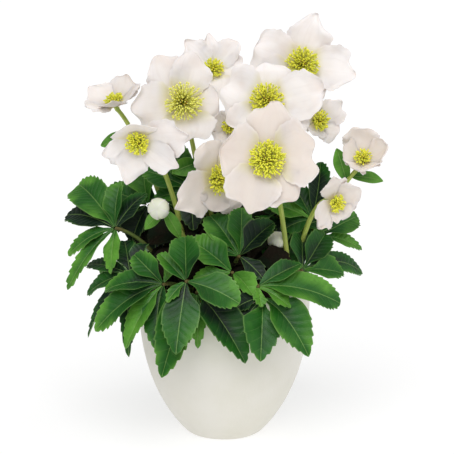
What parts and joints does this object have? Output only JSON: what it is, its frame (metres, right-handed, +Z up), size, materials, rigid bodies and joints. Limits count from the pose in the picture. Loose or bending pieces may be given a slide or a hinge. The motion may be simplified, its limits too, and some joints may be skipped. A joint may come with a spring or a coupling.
{
  "type": "potted christmas rose",
  "caption": "Christmas rose in bloom: open white flowers over toothed dark green leaves, growing from soil in a rounded white pot.",
  "frame": {"origin": "middle of the pot's foot, on the surface it stands on", "axes": "+Z up along the pot's axis, -Y towards the side the flowers face, +X to the right seen from there"},
  "size_m": [0.2786, 0.225, 0.359],
  "materials": {
    "ceramic": "matte",
    "soil": "matte",
    "leaf": "satin",
    "stem": "satin",
    "sepal": "matte",
    "stamen": "matte"
  },
  "bodies": {
    "root": {"bloom_front_sepals": "sepal", "bloom_front_stamens": "stamen", "bloom_front_stem": "stem", "bloom_left_cup_sepals": "sepal", "bloom_left_cup_stamens": "stamen", "bloom_left_cup_stem": "stem", "bloom_left_sepals": "sepal", "bloom_left_stamens": "stamen", "bloom_left_stem": "stem", "bloom_lower_right_sepals": "sepal", "bloom_lower_right_stamens": "stamen", "bloom_lower_right_stem": "stem", "bloom_middle_sepals": "sepal", "bloom_middle_stamens": "stamen", "bloom_middle_stem": "stem", "bloom_right_cup_sepals": "sepal", "bloom_right_cup_stamens": "stamen", "bloom_right_cup_stem": "stem", "bloom_right_side_sepals": "sepal", "bloom_right_side_stamens": "stamen", "bloom_right_side_stem": "stem", "bloom_side_sepals": "sepal", "bloom_side_stamens": "stamen", "bloom_side_stem": "stem", "bloom_small_middle_sepals": "sepal", "bloom_small_middle_stamens": "stamen", "bloom_small_middle_stem": "stem", "bloom_top_middle_sepals": "sepal", "bloom_top_middle_stamens": "stamen", "bloom_top_middle_stem": "stem", "bloom_top_right_sepals": "sepal", "bloom_top_right_stamens": "stamen", "bloom_top_right_stem": "stem", "bloom_upper_left_sepals": "sepal", "bloom_upper_left_stamens": "stamen", "bloom_upper_left_stem": "stem", "bud_left_sepals": "sepal", "bud_left_stem": "stem", "bud_right_sepals": "sepal", "bud_right_stem": "stem", "leaf_back": "leaf", "leaf_back_left": "leaf", "leaf_back_right": "leaf", "leaf_centre": "leaf", "leaf_centre_low": "leaf", "leaf_front": "leaf", "leaf_front_left": "leaf", "leaf_front_low": "leaf", "leaf_front_right": "leaf", "leaf_front_under": "leaf", "leaf_inner_back": "leaf", "leaf_inner_left": "leaf", "leaf_inner_right": "leaf", "leaf_left_behind": "leaf", "leaf_left_low": "leaf", "leaf_left_upper": "leaf", "leaf_right": "leaf", "leaf_right_back": "leaf", "pot": "ceramic", "soil": "soil"}
  },
  "joints": []
}
